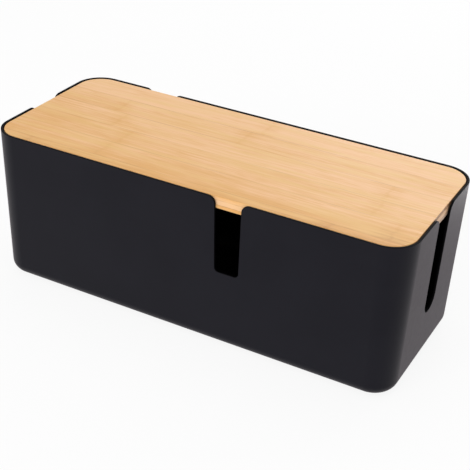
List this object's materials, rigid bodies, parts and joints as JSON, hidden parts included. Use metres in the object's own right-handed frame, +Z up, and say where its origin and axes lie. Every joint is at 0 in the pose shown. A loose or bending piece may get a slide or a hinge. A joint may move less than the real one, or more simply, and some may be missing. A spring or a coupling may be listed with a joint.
{
  "type": "cable management box",
  "caption": "Rounded open-topped plastic box with slots down from its rim for cables, closed by a flush laid-in bamboo lid, for hiding a power strip.",
  "frame": {"origin": "centre of the footprint, on the surface that the four rubber pads stand on", "axes": "+X along the length, to the right seen from the front; +Y to the back; +Z up, the way the lid lifts off"},
  "size_m": [0.32, 0.1306, 0.118],
  "materials": {
    "shell_plastic": "fine matt moulded black",
    "bamboo_face": "sanded natural bamboo with a thin satin coat",
    "bamboo_core": "sawn and sanded bamboo edge",
    "pad_rubber": "soft matt rubber",
    "pad_adhesive": "pale adhesive disc"
  },
  "bodies": {
    "box": {"box_shell": "shell_plastic", "foot_pad_front_left": "pad_rubber", "foot_pad_front_right": "pad_rubber", "foot_pad_back_left": "pad_rubber", "foot_pad_back_right": "pad_rubber", "foot_adhesive_front_left": "pad_adhesive", "foot_adhesive_front_right": "pad_adhesive", "foot_adhesive_back_left": "pad_adhesive", "foot_adhesive_back_right": "pad_adhesive"},
    "lid": {"lid_top_stave_1": "bamboo_face", "lid_top_stave_2": "bamboo_face", "lid_top_stave_3": "bamboo_face", "lid_top_stave_4": "bamboo_face", "lid_top_stave_5": "bamboo_face", "lid_top_stave_6": "bamboo_face", "lid_core_stave_1": "bamboo_core", "lid_core_stave_2": "bamboo_core", "lid_core_stave_3": "bamboo_core", "lid_core_stave_4": "bamboo_core", "lid_core_stave_5": "bamboo_core", "lid_core_stave_6": "bamboo_core", "lid_core_stave_7": "bamboo_core", "lid_core_stave_8": "bamboo_core", "lid_core_stave_9": "bamboo_core", "lid_core_stave_10": "bamboo_core", "lid_core_stave_11": "bamboo_core", "lid_core_stave_12": "bamboo_core", "lid_core_stave_13": "bamboo_core", "lid_core_stave_14": "bamboo_core", "lid_under_stave_1": "bamboo_face", "lid_under_stave_2": "bamboo_face", "lid_under_stave_3": "bamboo_face", "lid_under_stave_4": "bamboo_face", "lid_under_stave_5": "bamboo_face", "lid_under_stave_6": "bamboo_face"}
  },
  "joints": [
    {"name": "lid_lift", "type": "slide", "parent": "box", "child": "lid", "axis": [0, 0, 1], "range_m": [0, 0.12]}
  ]
}
